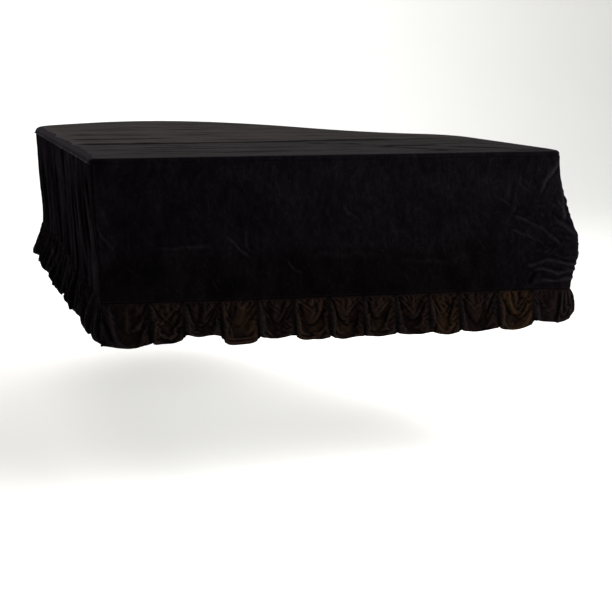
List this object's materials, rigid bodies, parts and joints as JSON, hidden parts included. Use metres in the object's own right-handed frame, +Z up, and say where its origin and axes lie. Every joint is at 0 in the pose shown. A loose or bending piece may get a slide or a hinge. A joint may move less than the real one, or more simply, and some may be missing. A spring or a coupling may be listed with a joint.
{
  "type": "grand piano cover",
  "caption": "Fitted dark velvet cover for a baby grand piano: a flat top in the lid's shape, a plain front panel, gathered side panels and a pleated frill, open underneath.",
  "frame": {"origin": "on the underside of the top panel, where it lies on the lid, near the middle of the lid", "axes": "+X from the bass side to the treble side, +Y from the keyboard to the tail, +Z up"},
  "size_m": [1.5535, 2.0367, 0.5421],
  "materials": {
    "velvet": "black short-pile velvet, matt, with a soft sheen at grazing angles"
  },
  "bodies": {
    "root": {"top_panel": "velvet", "front_skirt": "velvet", "spine_skirt": "velvet", "tail_skirt": "velvet", "bent_skirt": "velvet", "front_frill": "velvet", "spine_frill": "velvet", "tail_frill": "velvet", "bent_frill": "velvet"}
  },
  "joints": []
}
